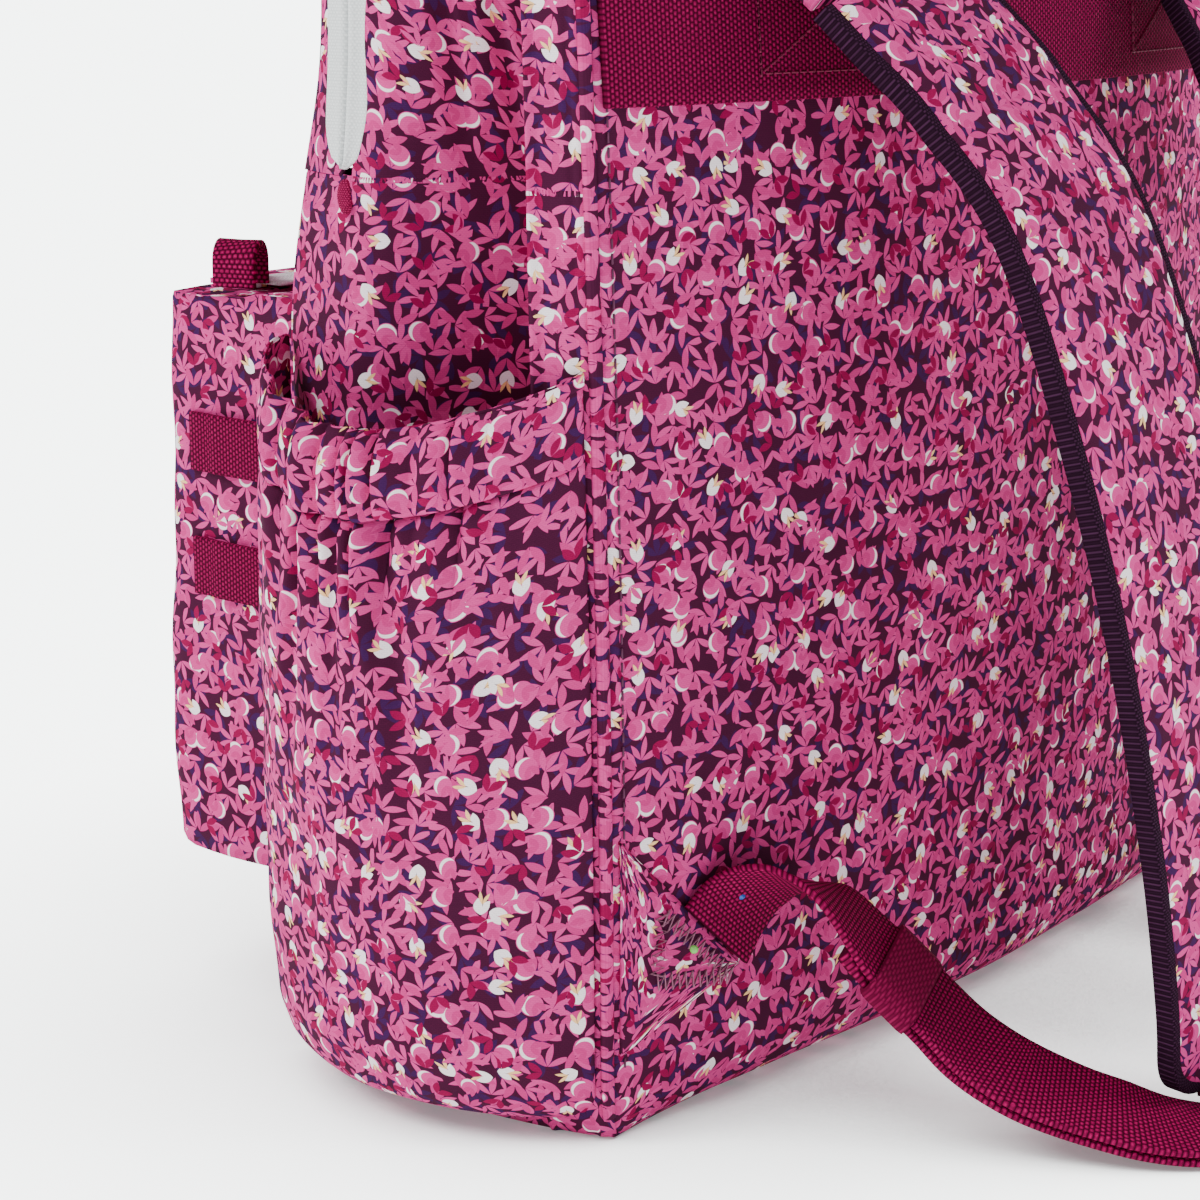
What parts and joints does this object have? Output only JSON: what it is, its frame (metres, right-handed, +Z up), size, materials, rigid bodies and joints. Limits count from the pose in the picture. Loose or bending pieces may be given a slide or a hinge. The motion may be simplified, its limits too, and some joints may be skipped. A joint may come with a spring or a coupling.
{
  "type": "school backpack",
  "caption": "Soft school backpack with zipped fold-down front, side bottle pockets, front accessory pocket, padded shoulder straps and grab handle.",
  "frame": {"origin": "middle of the base, on the surface it stands on", "axes": "+Z up, +X across the width, +Y towards the back panel and shoulder straps, -Y the front"},
  "size_m": [0.352, 0.2862, 0.4089],
  "materials": {
    "print_fabric": "printed woven polyester, small petals in pinks and white on plum",
    "magenta_webbing": "ribbed raspberry webbing",
    "aubergine_lining": "dark aubergine lining",
    "white_zip": "white zip tape with moulded coil",
    "board": "dark stiffener board",
    "foam": "closed-cell foam pad",
    "nickel": "polished nickel",
    "raspberry_plastic": "moulded raspberry plastic"
  },
  "bodies": {
    "bag": {"base_panel": "print_fabric", "back_panel": "print_fabric", "top_panel": "print_fabric", "front_panel": "print_fabric", "side_panel_right": "print_fabric", "side_panel_left": "print_fabric", "bottle_pocket_right": "print_fabric", "bottle_pocket_left": "print_fabric", "pocket_hem_right": "print_fabric", "pocket_hem_left": "print_fabric", "front_pocket": "print_fabric", "strap_tab_right": "print_fabric", "strap_tab_left": "print_fabric", "seam_welt_right": "print_fabric", "seam_welt_left": "print_fabric", "strap_root_right": "print_fabric", "strap_root_left": "print_fabric", "zip_bartack_right": "magenta_webbing", "zip_bartack_left": "magenta_webbing", "zip_loop_right": "magenta_webbing", "zip_loop_left": "magenta_webbing", "side_band_lower_right": "magenta_webbing", "side_band_lower_left": "magenta_webbing", "side_band_upper_right": "magenta_webbing", "side_band_upper_left": "magenta_webbing", "strap_band": "magenta_webbing", "handle_foot_right": "magenta_webbing", "handle_foot_left": "magenta_webbing", "sleeve_divider": "aubergine_lining", "main_zip_tape_rear": "white_zip", "pocket_zip_tape_rear": "white_zip", "base_board": "board", "back_foam": "foam"},
    "flap": {"front_flap": "print_fabric", "main_zip_tape_front": "white_zip"},
    "pocket_lid": {"front_pocket_mouth": "print_fabric", "pocket_zip_tape_front": "white_zip"},
    "pocket_slider": {"pocket_slider": "nickel"},
    "pocket_puller": {"pocket_puller": "nickel"},
    "handle": {"grab_handle": "magenta_webbing"},
    "strap_right": {"shoulder_strap_right": "print_fabric", "strap_webbing_right": "magenta_webbing", "webbing_tail_right": "magenta_webbing", "strap_tongue_right": "magenta_webbing"},
    "keeper_right": {"webbing_keeper_right": "magenta_webbing"},
    "lock_right": {"ladder_lock_right": "raspberry_plastic"},
    "slider_right": {"main_slider_right": "nickel"},
    "puller_right": {"main_puller_right": "nickel"},
    "strap_left": {"shoulder_strap_left": "print_fabric", "strap_webbing_left": "magenta_webbing", "webbing_tail_left": "magenta_webbing", "strap_tongue_left": "magenta_webbing"},
    "keeper_left": {"webbing_keeper_left": "magenta_webbing"},
    "lock_left": {"ladder_lock_left": "raspberry_plastic"},
    "slider_left": {"main_slider_left": "nickel"},
    "puller_left": {"main_puller_left": "nickel"}
  },
  "joints": [
    {"name": "flap_hinge", "type": "hinge", "parent": "bag", "child": "flap", "pos_m": [0, -0.0516, 0.216], "axis": [1, 0, 0], "range_deg": [0, 85]},
    {"name": "pocket_mouth", "type": "hinge", "parent": "bag", "child": "pocket_lid", "pos_m": [0, -0.1038, 0.1842], "axis": [1, 0, 0], "range_deg": [0, 100]},
    {"name": "pocket_zip", "type": "slide", "parent": "pocket_lid", "child": "pocket_slider", "axis": [1, 0, 0], "range_m": [0, 0.176]},
    {"name": "pocket_puller_hinge", "type": "hinge", "parent": "pocket_slider", "child": "pocket_puller", "pos_m": [-0.087, -0.084, 0.1886], "axis": [0, -1, 0], "range_deg": [0, 80]},
    {"name": "handle_hinge", "type": "hinge", "parent": "bag", "child": "handle", "pos_m": [0, 0.014, 0.3684], "axis": [1, 0, 0], "range_deg": [-65, 65]},
    {"name": "strap_swing_right", "type": "hinge", "parent": "bag", "child": "strap_right", "pos_m": [0.1125, 0.061, 0.047], "axis": [0.1673, -0.0134, -0.9858], "range_deg": [0, 12]},
    {"name": "keeper_slide_right", "type": "slide", "parent": "strap_right", "child": "keeper_right", "axis": [-0.3417, 0.6231, -0.7035], "range_m": [-0.0015, 0.0015]},
    {"name": "lock_tilt_right", "type": "hinge", "parent": "strap_right", "child": "lock_right", "pos_m": [0.0325, 0.155, 0.009], "axis": [0.9397, 0.3419, 0], "range_deg": [0, 30]},
    {"name": "main_zip_right", "type": "slide", "parent": "bag", "child": "slider_right", "axis": [1, 0, 0], "range_m": [0, 0.072]},
    {"name": "puller_hinge_right", "type": "hinge", "parent": "slider_right", "child": "puller_right", "pos_m": [0.0232, -0.027, 0.3702], "axis": [0, -1, 0], "range_deg": [0, 80]},
    {"name": "strap_swing_left", "type": "hinge", "parent": "bag", "child": "strap_left", "pos_m": [-0.1125, 0.061, 0.047], "axis": [0.1673, 0.0134, 0.9858], "range_deg": [0, 12]},
    {"name": "keeper_slide_left", "type": "slide", "parent": "strap_left", "child": "keeper_left", "axis": [0.3417, 0.6231, -0.7035], "range_m": [-0.0015, 0.0015]},
    {"name": "lock_tilt_left", "type": "hinge", "parent": "strap_left", "child": "lock_left", "pos_m": [-0.0325, 0.155, 0.009], "axis": [0.9397, -0.3419, 0], "range_deg": [0, 30]},
    {"name": "main_zip_left", "type": "slide", "parent": "bag", "child": "slider_left", "axis": [-1, 0, 0], "range_m": [0, 0.072]},
    {"name": "puller_hinge_left", "type": "hinge", "parent": "slider_left", "child": "puller_left", "pos_m": [-0.0232, -0.027, 0.3702], "axis": [0, 1, 0], "range_deg": [0, 80]}
  ]
}
